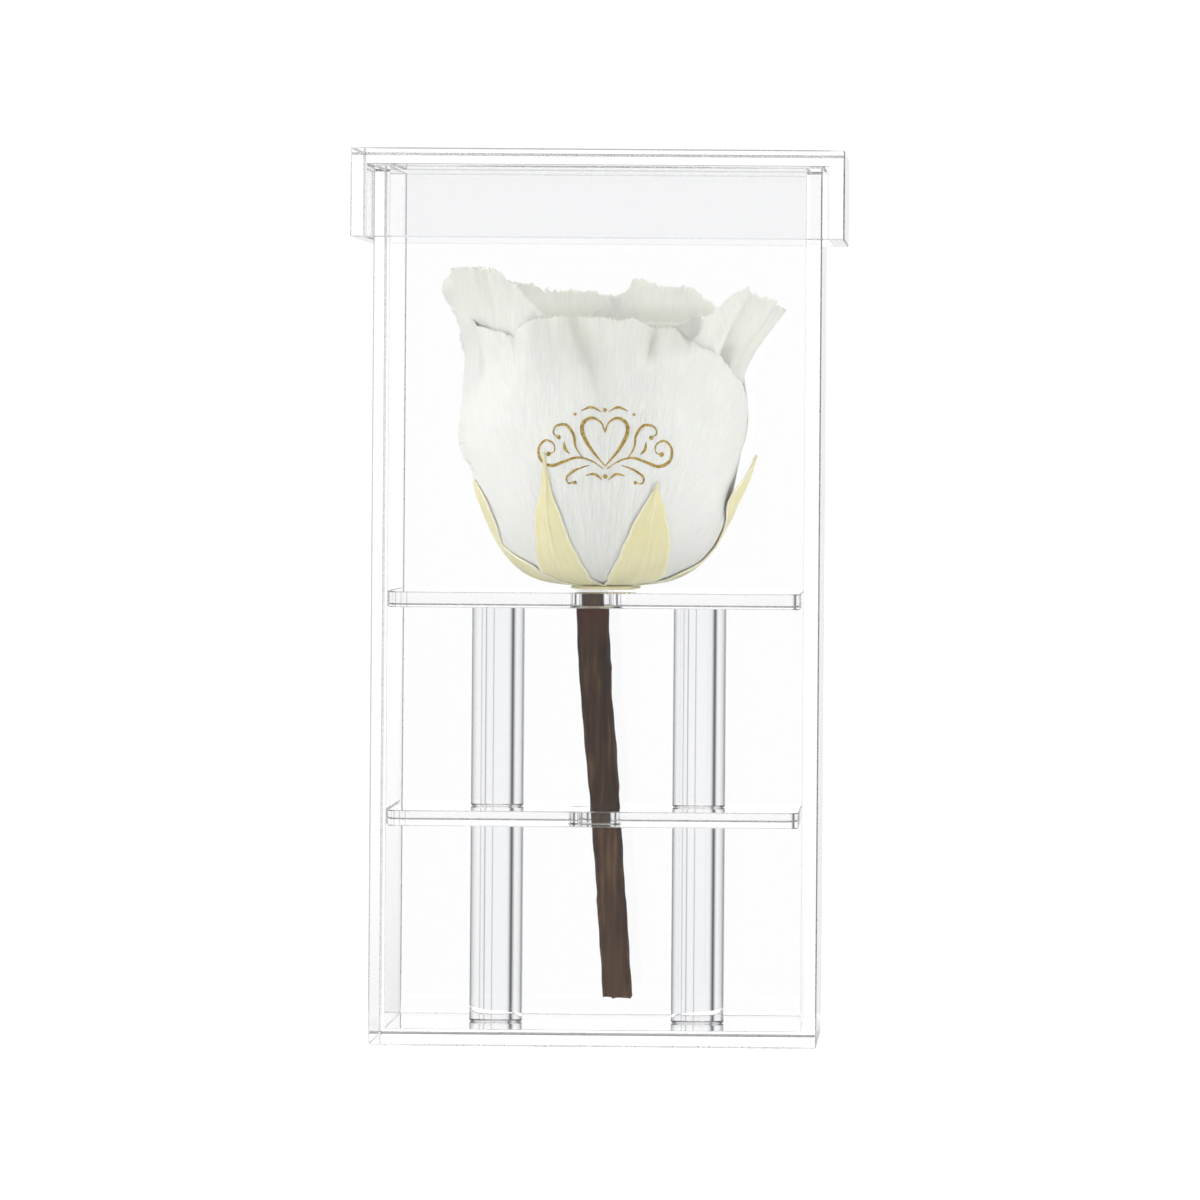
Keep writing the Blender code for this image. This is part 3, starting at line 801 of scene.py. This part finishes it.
def front_folds(radius, degrees, height):
    """The front petal's own folds, from left to right."""
    # The left margin is bent back along a crease and has a wavy edge.
    bend = np.interp(height, (42, 49, 55, 59), (-56, -52, -55, -60))
    ridge = np.exp(-(((degrees - bend - 2.5) / 3) ** 2)) * smooth(44, 54, height)
    radius = radius - 1.5 * smooth(0, 9, bend - degrees) * smooth(38, 50, height) + 0.5 * ridge
    edge = smooth(-62, -84, degrees)
    radius += edge * np.interp(height, *LEFT_EDGE)
    radius += edge * smooth(12, 24, height) * (
        0.16 * np.sin(height * 2.3) + 0.12 * np.sin(height * 3.7 + 1) + 0.08 * np.sin(height * 6.1)
    )
    # A short fold under the notch in the rim.
    notch = crease(degrees, height, ((48, -35), (55, -37.5), (60, -38)), 1.6, 2.6)
    radius -= 0.8 * notch * smooth(49, 55, height)
    # A valley runs down from the rim, and there is a hollow to the right of it.
    radius -= tuck_under(degrees, height, VALLEY) + tuck_under(degrees, height, HOLLOW)
    radius -= 0.5 * smooth(42, 52, height) * np.exp(-(((degrees + 20) / 7) ** 2))
    # A step under the hollow and the curled corner, and pleats that fan up from the foot.
    for pleat in PLEATS:
        line = np.exp(-(((degrees - pleat) / 1.3) ** 2))
        radius -= 0.2 * line * smooth(5, 14, height) * smooth(40, 22, height)
    radius -= 0.5 * spot(degrees, height, 33, 4.0, 54.3, 3.2)
    floor = np.interp(degrees, (14, 20, 39, 53, 60), (48.0, 49.1, 51.9, 52.2, 50.5))
    within = smooth(16, 23, degrees) * smooth(57, 46, degrees)
    radius -= 0.75 * within * smooth(floor - 0.6, floor + 2.6, height)
    radius += 0.4 * within * np.exp(-(((height - floor + 1.2) / 1.5) ** 2))
    # Slack dents over the lower half.
    radius -= 0.5 * spot(degrees, height, 43, 10, 40, 9)
    radius += 0.4 * spot(degrees, height, 55, 8, 45, 6)
    radius -= 0.35 * spot(degrees, height, 2, 7, 18, 12)
    return radius


def corner_folds(radius, degrees, height):
    """The petal behind the front one's left corner leans out and curls over at its rim."""
    up = smooth(56, 66, height)
    radius = radius + 0.9 * up * crease(degrees, height, ((56, -66), (71, -60)), 4.5, 7)
    radius -= 0.8 * up * crease(degrees, height, ((56, -50), (71, -52)), 3, 5)
    radius += 0.7 * up * crease(degrees, height, ((56, -42), (71, -45)), 3, 3)
    radius += 1.0 * spot(degrees, height, -78, 16, 58.0, 4.0)
    radius += 0.6 * spot(degrees, height, -68, 7, 70.5, 2.0)
    radius -= 1.0 * spot(degrees, height, -77, 6, 69.0, 1.6)
    radius += 0.7 * spot(degrees, height, -74, 7, 66.2, 1.3)
    radius -= 0.6 * spot(degrees, height, -57, 6, 67.0, 3.0)
    edge = smooth(-66, -80, degrees) * smooth(56, 60, height)
    radius += edge * (0.2 * np.sin(height * 2.6) + np.interp(height, *CORNER_EDGE))
    return radius


def right_folds(radius, degrees, height):
    """Ridges that fan down from the right petal's rim, and a dark pocket by the front petal."""
    up = smooth(44, 56, height)
    radius = radius + 1.2 * up * crease(degrees, height, ((50, 50), (66, 60)), 2.5, 5)
    radius -= 1.2 * up * crease(degrees, height, ((50, 58), (66, 66)), 3, 2)
    radius += 1.2 * up * crease(degrees, height, ((46, 66), (66, 75)), 4, 3)
    radius -= 1.0 * up * crease(degrees, height, ((46, 72), (66, 82)), 3, 3)
    radius -= 3.0 * spot(degrees, height, 63, 4.5, 51, 4.0)
    return radius


# A petal with no folds of its own gets shade painted on low down: none above the first height, and
# this share below the second.
PAINTED_SHADE_HEIGHTS = (64.5, 60.0)
PAINTED_SHADE_MOST = 0.85


def petal_sheet(name, petal, folds=None):
    """One petal. It keeps how much shade is painted on each point, from 0 to 1, for its finish to
    read.
    """
    piece, u, t = new_grid(name, *petal["grid"])
    radius, degrees, height = petal_form(petal, u, t)
    radius = crumple(petal, radius, degrees, height)
    # Painted shade: by how deep the folds sink the petal, or by height on a petal without folds.
    if folds:
        plain, radius = radius, folds(radius, degrees, height)
        hollow = (plain - radius) / DEEPEST
    else:
        hollow = PAINTED_SHADE_MOST * smooth(*PAINTED_SHADE_HEIGHTS, height)
    kept = piece.data.attributes.new("hollow", "FLOAT", "POINT")
    kept.data.foreach_set("value", np.clip(hollow, 0, 1))
    put_points(piece, *bowl_place(radius, degrees, height))
    thicken(piece, PETAL_THICK)
    return piece


def white_petal(name, deep):
    """Preserved petal: warm white, finely veined, greener towards its root, with shade painted on
    by its attribute.
    """
    made, shader, place = new_finish(
        name,
        Specular_IOR_Level=0.2,
        Sheen_Weight=0.12,
        Sheen_Roughness=0.5,
        Subsurface_Weight=0.5,
        Subsurface_Radius=(1.0, 0.95, 0.7),
        Subsurface_Scale=1.1 * MM,
    )
    u, v, _ = place.node("UVMap").axes()
    fanned = (u - 0.5) / (0.35 + 0.65 * v)
    fan = place.node("CombineXYZ", None, {0: fanned * 170.0, 1: v * 13.0})
    line = fan.noise(1.0, 4.0, Distortion=0.35).share(0.40, 0.60)
    cells, cloud = place.noise(1500.0, 2.0), place.noise(60.0, 3.0)
    root = v.share(0.45, 0.0)
    hollow = place.node("Attribute", {"attribute_name": "hollow"}, out="Fac")
    pale = (0.65 * line + 0.35 * cloud).mix((0.856, 0.866, 0.788, 1), (0.930, 0.933, 0.868, 1))
    # Painted shade: greyer where the petal's folds are deep, and low down on petals without folds.
    pale = (0.75 * hollow).mix(pale, (0.68, 0.70, 0.63, 1))
    feed(shader, "Base Color", (0.8 * root * root).mix(pale, (*deep, 1)))
    feed(shader, "Roughness", 0.68 + 0.22 * cells)
    feed(shader, "Normal", (0.7 * line + 0.3 * cells).bump(0.1 * MM))
    return made


outer_white = white_petal("outer_petal", (0.84, 0.84, 0.68))
FOLDS = {"front": front_folds, "right": right_folds, "corner": corner_folds}


def given_rim(number, line):
    """A rim that follows a given line, with its own small bites."""
    return lambda degrees: np.interp(degrees, line[:, 0], line[:, 1]) + nibbled(degrees, number)


rng = np.random.default_rng(SEED)
for number, (name, given) in enumerate(OUTER_PETALS.items()):
    line = np.array(given["rim"], float)
    petal = {
        **given,
        "wave": 0.0 if name == "front" else 0.5,
        "waves": rng.uniform(4, 6),
        "phase": rng.uniform(0, math.tau),
        "rim_line": given_rim(number, line),
        "top": line[:, 1].max(),
        "seed": 40 + number,
    }
    if name == "front":
        front_petal = petal
    piece = petal_sheet("petal_" + name, petal, FOLDS.get(name))
    fit_out(piece, [outer_white], "rose_bloom", *(["rose_bloom"] if name == "front" else []))

# Turned corner
# At the right the next petal's corner has curled over the front petal's rim as it dried. It is a
# small tongue that lies against the front petal at its left end and stands off it at its right.

TURNED_DEGREES = (32.3, 36.0, 38.4, 40.6)
TURNED_UPPER = (58.2, 59.3, 60.1, 60.3)
TURNED_LOWER = (57.4, 55.6, 54.7, 56.2)
TURNED_OFF = 1.35
TURNED_THICK = 0.3


def front_surface(degrees, height):
    """The outside of the front petal at these degrees and heights, in mm from the axis."""
    radius = flared(front_petal, bowl_radius(height), degrees, height) + belly(degrees, height)
    radius = crumple(front_petal, radius, degrees, height)
    return front_folds(radius, degrees, height) + PETAL_THICK / 2


piece, u, t = new_grid("turned_corner", 40, 24)
share = (u + 1) / 2
degrees = between((TURNED_DEGREES[0], TURNED_DEGREES[-1]), share)
lower = np.interp(degrees, TURNED_DEGREES, TURNED_LOWER)
height = between((lower, np.interp(degrees, TURNED_DEGREES, TURNED_UPPER)), t)
stand = TURNED_OFF * share**1.3 * (0.7 + 0.3 * np.sin(np.pi * t)) + 0.15
put_points(piece, *bowl_place(front_surface(degrees, height) + stand, degrees, height))
thicken(piece, TURNED_THICK)
fit_out(piece, [outer_white], "rose_bloom")

# Inner petals and heart
# Nineteen smaller petals follow each other by the golden angle, from the widest to the closed
# bud in the middle. They are softer and creamier, and stand out of a small solid heart.

INNER_COUNT = 19
GOLDEN = 137.5
INNER_FIRST = 30
INNER_REACH = (0.85, 0.13)
INNER_HALF = (54, 88)
INNER_FRONT_TOP = (56.0, 50.0)
INNER_BACK_TOP = (58.5, 50.5)
INNER_HIDDEN = (0.02, 0.50)
INNER_LEAN = (2.4, -1.7)
RING_LIFT = 6.0
HEART = (
    (0.0, 0.0), (8.0, 0.0), (10.0, 2.0), (11.6, 6.0), (12.0, 12.0), (10.8, 22.0), (7.5, 30.0),
    (4.2, 38.0), (2.6, 44.0), (1.6, 46.6), (0.0, 47.4),
)


def round_rim(azimuth, half, top, drop):
    """A rim that is highest in its middle and drops to both sides."""
    return lambda degrees: top - drop * np.abs((degrees - azimuth) / half / 0.85) ** 3


inner_white = white_petal("inner_petal", (0.80, 0.78, 0.55))
rng = np.random.default_rng(SEED)
for number in range(INNER_COUNT):
    inward = number / (INNER_COUNT - 1)
    azimuth = INNER_FIRST + GOLDEN * number + rng.uniform(-12, 12)
    reach = between(INNER_REACH, inward) + rng.uniform(-0.015, 0.015) * (1 - inward)
    front, back = between(INNER_FRONT_TOP, inward), between(INNER_BACK_TOP, inward)
    behind = 0.5 - 0.5 * math.cos(math.radians(azimuth))
    top = between((front, back), behind) + rng.uniform(-1.4, 1.4)
    drop = rng.uniform(6, 11)
    half = between(INNER_HALF, inward)
    petal = {
        "azimuth": azimuth,
        "half": half,
        "reach": reach,
        "lap": 1.0,
        "taper": 0.15,
        "lift": RING_LIFT * (1 - reach),
        "start": between(INNER_HIDDEN, inward),
        "claw": 0.42,
        "flare": (between(INNER_LEAN, inward), top - 13, azimuth, 75),
        "wave": reach,
        "waves": rng.uniform(4, 6),
        "phase": rng.uniform(0, math.tau),
        "rim_line": round_rim(azimuth, half, top, drop),
        "top": top,
        "grid": (round(40 + 50 * reach), round(40 + 50 * reach)),
        "seed": 100 + number,
        "soft": 0.4 + 0.5 * reach,
    }
    fit_out(petal_sheet(f"petal_inner_{number + 1:02d}", petal), [inner_white], "rose_bloom")

heart = turned("bloom_heart", HEART, BLOOM_FOOT_X, BLOOM_Z)
fit_out(heart, [inner_white], "rose_bloom")

# Ornament
# A heart between two scrolls, pressed on the front petal in gold foil. Its strokes swell and
# thin like a pen's, end in small beads, and follow the petal's dents a hair above them.

FOIL_LIFT = 0.05
FOIL_THICK = 0.03
ORNAMENT_DEGREES, ORNAMENT_HEIGHT = 1.5, 31.6
PEN = (0.12, 0.34)  # half the width of a stroke at its ends and at its middle, mm
RIGHT_STROKES = (
    # how wide against the pen, a bead at the end or not, then the points right and up in mm
    (
        1.25,
        False,
        ((0, 2.4), (0.9, 4.6), (3.0, 5.6), (4.9, 4.3), (4.9, 1.9), (3.0, -1.6), (0, -5.2)),
    ),
    (
        1.0,
        True,
        (
            (0.4, -5.8), (3.2, -4.0), (6.3, -3.3), (9.4, -4.3), (12.3, -5.2), (14.9, -3.9),
            (15.4, -1.3), (13.7, 0.5), (11.7, -0.2), (11.5, -2.0), (12.9, -2.5),
        ),
    ),
    (
        0.9,
        True,
        ((5.2, -3.2), (6.6, -0.9), (7.0, 1.7), (8.6, 3.9), (10.9, 3.8), (11.7, 2.2), (10.4, 1.2)),
    ),
    (0.75, True, ((3.6, -5.0), (6.4, -6.0), (8.6, -7.6), (8.4, -9.0), (6.8, -8.9))),
    (1.0, False, ((8.0, -2.5), (9.0, -1.4), (9.2, 0.2))),
    (0.8, False, ((0.7, -8.3), (2.4, -7.0), (4.4, -7.3))),
    (0.8, False, ((0.9, 7.0), (2.9, 8.0), (5.2, 7.2))),
)
BEADS = ((0, 7.4, 0.45), (0, -7.5, 0.5), (6.6, 6.4, 0.35), (-6.6, 6.4, 0.35))
BEAD_RADIUS = 0.55


def foil(name, right, up, across, along, order):
    """A grid of foil laid on the petal, its points given right and up from the middle in mm."""
    piece, _, _ = new_grid(name, across, along)
    height = ORNAMENT_HEIGHT + up
    degrees = ORNAMENT_DEGREES + np.degrees(right / bowl_radius(height))
    radius = front_surface(degrees, height) + FOIL_LIFT + 0.004 * order
    put_points(piece, *bowl_place(radius, degrees, height))
    return piece


def pen_stroke(name, points, wide, order):
    """A stroke along a smooth line through these points, thin at its ends."""
    line = spline_through(points, 10)
    run = np.concatenate([[0], np.cumsum(np.hypot(*np.diff(line, axis=0).T))])
    count = max(12, round(run[-1] / 0.25))
    along = np.linspace(0, run[-1], count + 1)
    right, up = (np.interp(along, run, line[:, axis]) for axis in (0, 1))
    way = np.arctan2(np.gradient(up), np.gradient(right))
    half = wide * between(PEN, np.sin(np.pi * np.linspace(0, 0.9999, count + 1)) ** 1.5)
    across = np.linspace(-1, 1, 3)[:, None]
    # The primitive grid's points run across first, then along.
    rows = (right + across * half * -np.sin(way), up + across * half * np.cos(way))
    return foil(name, rows[0].T.ravel(), rows[1].T.ravel(), 2, count, order)


def bead(name, right, up, size, order):
    """A round dot of foil. Its middle is left open by a hair, so no face is folded."""
    turn, out = np.meshgrid(np.linspace(0, math.tau, 21), (0.02, 0.55, 1.0), indexing="ij")
    right = right + size * out * np.cos(turn)
    up = up + size * out * np.sin(turn)
    return foil(name, right.ravel(), up.ravel(), 2, 20, order)


foils = []
for number, (wide, beaded, points) in enumerate(RIGHT_STROKES):
    for side in (1, -1):
        mirrored = [(side * x, y) for x, y in points]
        name = f"stroke_{number}_{side + 1}"
        foils.append(pen_stroke(name, mirrored, wide, len(foils)))
        if beaded:
            foils.append(bead("bead", *mirrored[-1], BEAD_RADIUS * wide, len(foils)))
foils += [bead("bead", *given, 30) for given in BEADS]
ornament = join_pieces(foils, "gold_ornament")
select_faces(ornament, lambda face: True)
bpy.ops.mesh.remove_doubles(threshold=0.0005 * MM)
bpy.ops.object.mode_set(mode="OBJECT")
thicken(ornament, FOIL_THICK)

gold, shader, place = new_finish("gold_foil", Metallic=0.6)
flakes = place.node("TexVoronoi", None, {"Vector": place, "Scale": 3200.0}, out="Color")
flake = place.node("SeparateColor", None, {0: flakes})
worn = place.noise(700.0, 3.0)
tone = (0.6 * flake + 0.4 * worn).ramp(
    (0.15, (0.36, 0.22, 0.03)), (0.5, (0.68, 0.46, 0.09)), (0.85, (0.95, 0.74, 0.26))
)
feed(shader, "Base Color", tone)
feed(shader, "Roughness", 0.25 + 0.3 * worn)
feed(shader, "Normal", flake.bump(0.03 * MM))
fit_out(ornament, [gold], "rose_bloom")

# Table
# A round white table top, which the box rests flat on. It glows towards matt surfaces only, and
# the acrylic mirrors it darker than it is seen straight.

TABLE_RADIUS = 0.16
TABLE_DOWN = 0.2 * MM
TABLE_GLOW = 3.5

select_pieces()
bpy.ops.mesh.primitive_circle_add(
    vertices=128, radius=TABLE_RADIUS, fill_type="NGON", location=(0, 0, -TABLE_DOWN)
)
table = set_primitive("table_top")
pale, shader, place = new_finish("table_white", Roughness=0.9, Specular_IOR_Level=0.1)
grey = place.past("Glossy", 0.5).mix((0.87, 0.87, 0.87, 1), (0.50, 0.50, 0.51, 1))
feed(shader, "Base Color", (0.03 * place.noise(5.0, 2.0)).mix(grey, (0.8, 0.8, 0.8, 1)))
feed(shader, "Emission Color", place.past("Diffuse", 0.5).mix((0, 0, 0, 1), (1, 1, 1, 1)))
shader.inputs["Emission Strength"].default_value = TABLE_GLOW
table.data.materials.append(pale)

# Light
# A white studio all round. Soft boxes light the matt surfaces only, and narrow dark flags draw the
# edges of clear things. What is seen straight or mirrored has a brightness of its own.

SEEN = 1.09
ECHOES = (0.92, 1.22)  # how bright it is ahead once reflected, for rays that go down and level
POLISH_ECHO = 0.90  # and off an outer face
BEHIND = (0.25, 0.45)  # and on its dark side, where the camera stands, off outer faces and within
AMBIENT = 0.38
FLAGS = (
    # degrees round from the back, half width, how dark
    (4.3, 0.8, 0.5), (16.5, 1.0, 0.6), (25.4, 1.2, 0.4), (-25.7, 4.5, 0.97), (67, 13.0, 0.97),
    (-67, 13.0, 0.97), (113, 10.0, 0.8), (-113, 10.0, 0.8), (155, 2.0, 0.7),
)
SOFT_BOXES = (
    # degrees round from the front, to the right, then up, then strength
    (-60, 55, 2.35), (0, 55, 1.70), (180, 40, 1.90), (-100, 18, 1.80), (-60, 18, 3.00),
    (20, 18, 1.20), (60, 18, 1.85), (100, 18, 1.30), (75, -12, 1.10),
)
BOX_NARROW = 6.0  # the power of the cosine to a soft box's middle
FLAG_TONE = (0.03, 0.035, 0.05, 1)
DARKEST = 0.96

world = bpy.data.worlds.new("studio")
bpy.context.scene.world = world
world.use_nodes = True
world.cycles.sampling_method = "NONE"
sky = Paint(world.node_tree)
way = sky.node("TexCoord", out="Generated")
x, y, z = way.axes()
round_ = sky.maths("ARCTAN2", x, y) * (180 / math.pi)
dark = 0.55 * sky.maths("ABSOLUTE", z).share(0.50, 0.62)
for degrees, half, depth in FLAGS:
    off = (round_ - degrees) / half
    dark = dark + depth * sky.maths("POWER", math.e, -1.0 * (off * off))

dark = sky.past("Transmission", 1.5) * sky.maths("MINIMUM", dark, DARKEST)
echoed, outer = sky.past("Glossy", 0.5), 1 - sky.past("Transmission", 0.5)
back = y.share(-0.1, -0.6)
ahead = sky.node("MapRange", None, {0: z, 1: -0.045, 2: -0.012, 3: ECHOES[0], 4: ECHOES[1]})
outer_echo = POLISH_ECHO + (BEHIND[0] - POLISH_ECHO) * back
inner_echo = ahead + (BEHIND[1] - ahead) * back
turned_back = outer * outer_echo + (1 - outer) * inner_echo
white = echoed * turned_back + (1 - echoed) * SEEN
seen = dark.mix(sky.node("CombineXYZ", None, {0: white, 1: white, 2: white}), FLAG_TONE)
glow = AMBIENT * (1 - 0.5 * dark)
for degrees, up, strength in SOFT_BOXES:
    turn, rise = math.radians(degrees), math.radians(up)
    aim = (math.sin(turn) * math.cos(rise), -math.cos(turn) * math.cos(rise), math.sin(rise))
    facing = sky.maths("MAXIMUM", x * aim[0] + y * aim[1] + z * aim[2], 0.0)
    glow = glow + strength * facing**BOX_NARROW
warm = sky.node("CombineXYZ", None, {0: glow, 1: glow * 0.998, 2: glow * 0.972})
feed(world.node_tree.nodes["Background"], "Color", sky.past("Diffuse", 0.5).mix(seen, warm))

# Camera
# A long lens a little above the table, a few degrees to the right, as the photograph was taken.
# Clear things need many bounces to come out bright.

CAMERA_PLACE = (0.084367, -3.242675, 0.134795)
CAMERA_YAW, CAMERA_PITCH, CAMERA_ROLL = -1.494, -0.632, 0.423
LENS = 430.1

camera = bpy.data.objects.new("camera", bpy.data.cameras.new("camera"))
bpy.context.scene.collection.objects.link(camera)
yaw, pitch, roll = (math.radians(a) for a in (CAMERA_YAW, CAMERA_PITCH, CAMERA_ROLL))
ahead = Vector(
    (math.sin(yaw) * math.cos(pitch), math.cos(yaw) * math.cos(pitch), math.sin(pitch))
)
level = Vector((math.cos(yaw), -math.sin(yaw), 0))
upright = level.cross(ahead)
right = math.cos(roll) * level + math.sin(roll) * upright
above = math.cos(roll) * upright - math.sin(roll) * level
matrix = camera.matrix_world.copy()
for row in range(3):
    matrix[row] = (right[row], above[row], -ahead[row], CAMERA_PLACE[row])
camera.matrix_world = matrix
camera.data.lens = LENS
camera.data.sensor_width = 36
camera.data.clip_end = 100
camera.data.dof.use_dof = False
scene = bpy.context.scene
scene.camera = camera
scene.cycles.max_bounces = 24
scene.cycles.transmission_bounces = 22
scene.cycles.glossy_bounces = 8
scene.cycles.diffuse_bounces = 2
scene.cycles.transparent_max_bounces = 16
scene.cycles.caustics_reflective = True
scene.cycles.caustics_refractive = True
scene.view_settings.view_transform = "Standard"
scene.view_settings.look = "None"
